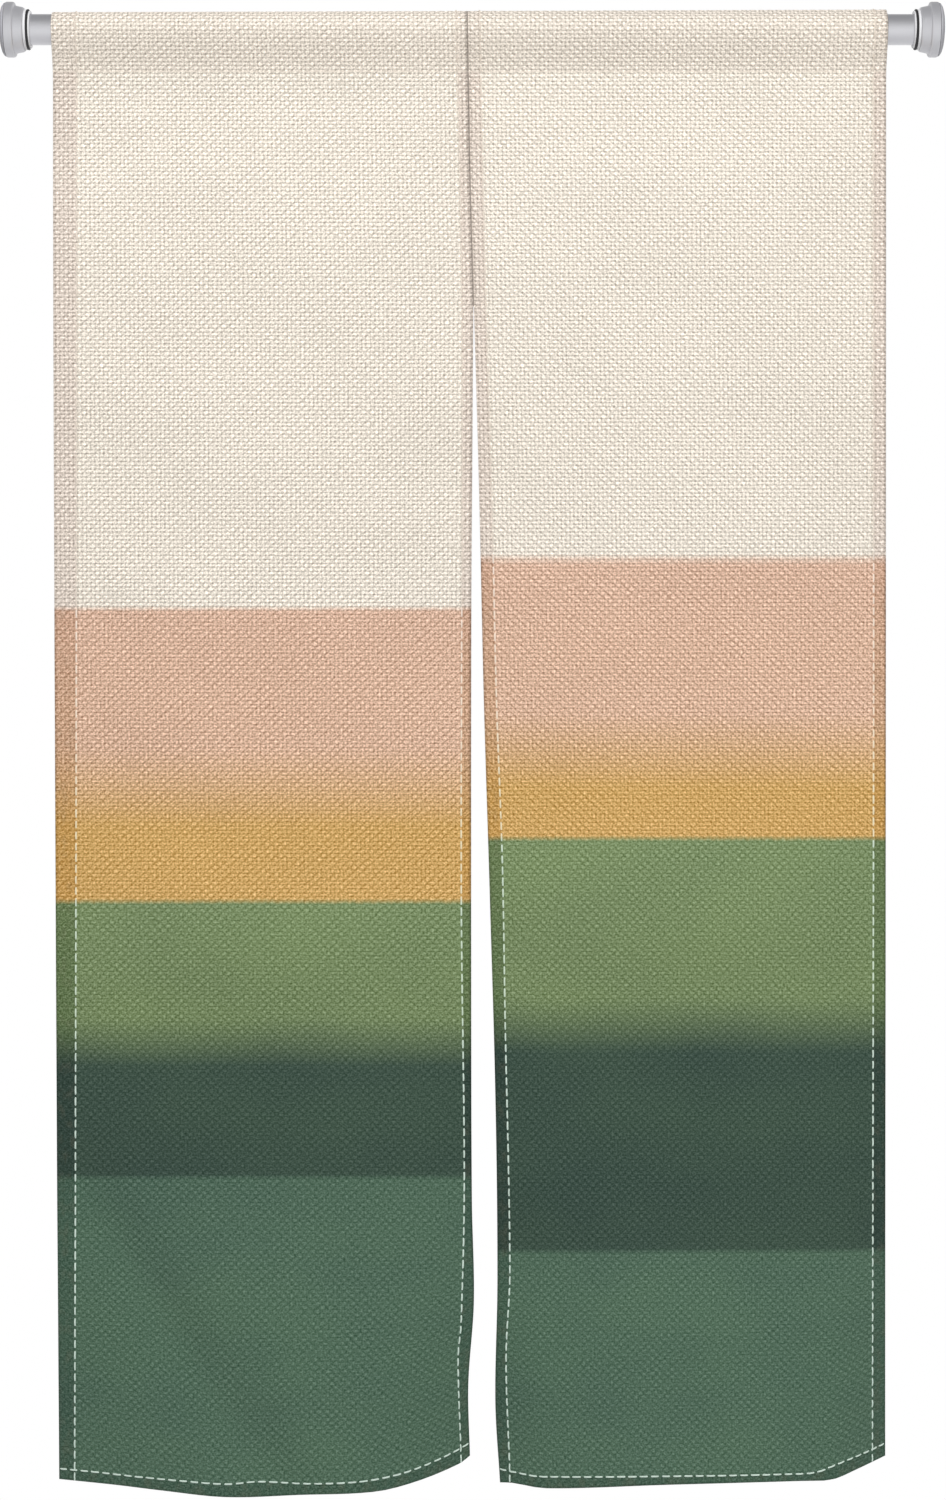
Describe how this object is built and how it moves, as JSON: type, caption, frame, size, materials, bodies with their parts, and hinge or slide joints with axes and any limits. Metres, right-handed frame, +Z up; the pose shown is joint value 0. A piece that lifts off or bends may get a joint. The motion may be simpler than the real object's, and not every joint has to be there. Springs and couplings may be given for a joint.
{
  "type": "noren curtain on a tension rod",
  "caption": "Split doorway curtain: two hemmed cloth panels joined at the top and hung by a sewn pocket on a tension rod with capped, padded ends.",
  "frame": {"origin": "middle of the left foot pad's wall face, on the rod's axis", "axes": "+X along the rod to the viewer's right, +Y away from the viewer, +Z up"},
  "size_m": [0.96, 0.0727, 1.5232],
  "materials": {
    "cloth": "cotton-linen plain weave, dip-dyed in bands",
    "tube_enamel": "silver-white enamel on steel",
    "cap_plastic": "moulded grey-white plastic",
    "ring_rubber": "black rubber",
    "pad_rubber": "light grey non-slip rubber"
  },
  "bodies": {
    "root": {"panel_left": "cloth", "panel_right": "cloth", "rod_tube": "tube_enamel", "cap_left": "cap_plastic", "cap_right": "cap_plastic", "ring_left": "ring_rubber", "ring_right": "ring_rubber", "pad_left": "pad_rubber", "pad_right": "pad_rubber"}
  },
  "joints": []
}
